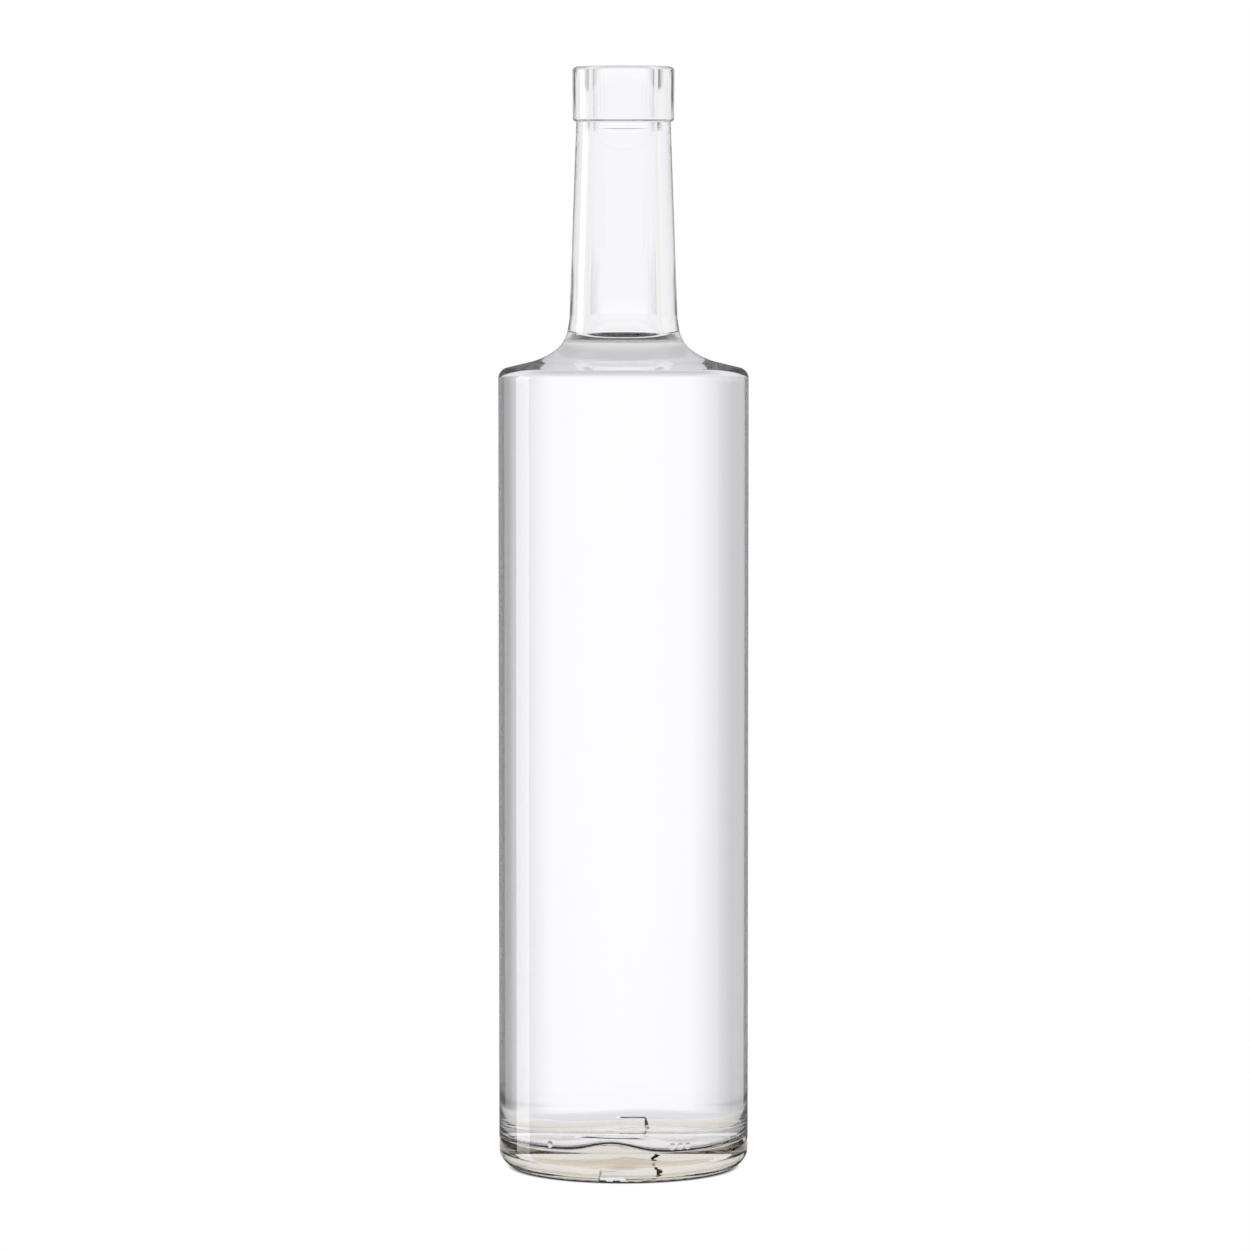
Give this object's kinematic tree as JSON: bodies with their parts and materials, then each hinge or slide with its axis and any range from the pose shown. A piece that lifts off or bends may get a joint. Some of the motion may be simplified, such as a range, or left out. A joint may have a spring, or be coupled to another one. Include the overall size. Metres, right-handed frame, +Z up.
{
  "type": "bottle of liqueur",
  "caption": "Tall cylindrical clear glass bottle of colourless liqueur, unlabelled and open at the mouth, with a low sloping shoulder, slim neck and plain stopper finish.",
  "frame": {"origin": "centre of the bearing face, on the surface the bottle stands on", "axes": "+Z up along the bottle's axis, -Y towards the front (the side with the low heel notch), +X to the right seen from the front"},
  "size_m": [0.0692, 0.0692, 0.305],
  "materials": {
    "clear_glass": "polished",
    "clear_liqueur": "smooth"
  },
  "bodies": {
    "root": {"glass_bottle": "clear_glass", "liqueur": "clear_liqueur"}
  },
  "joints": []
}
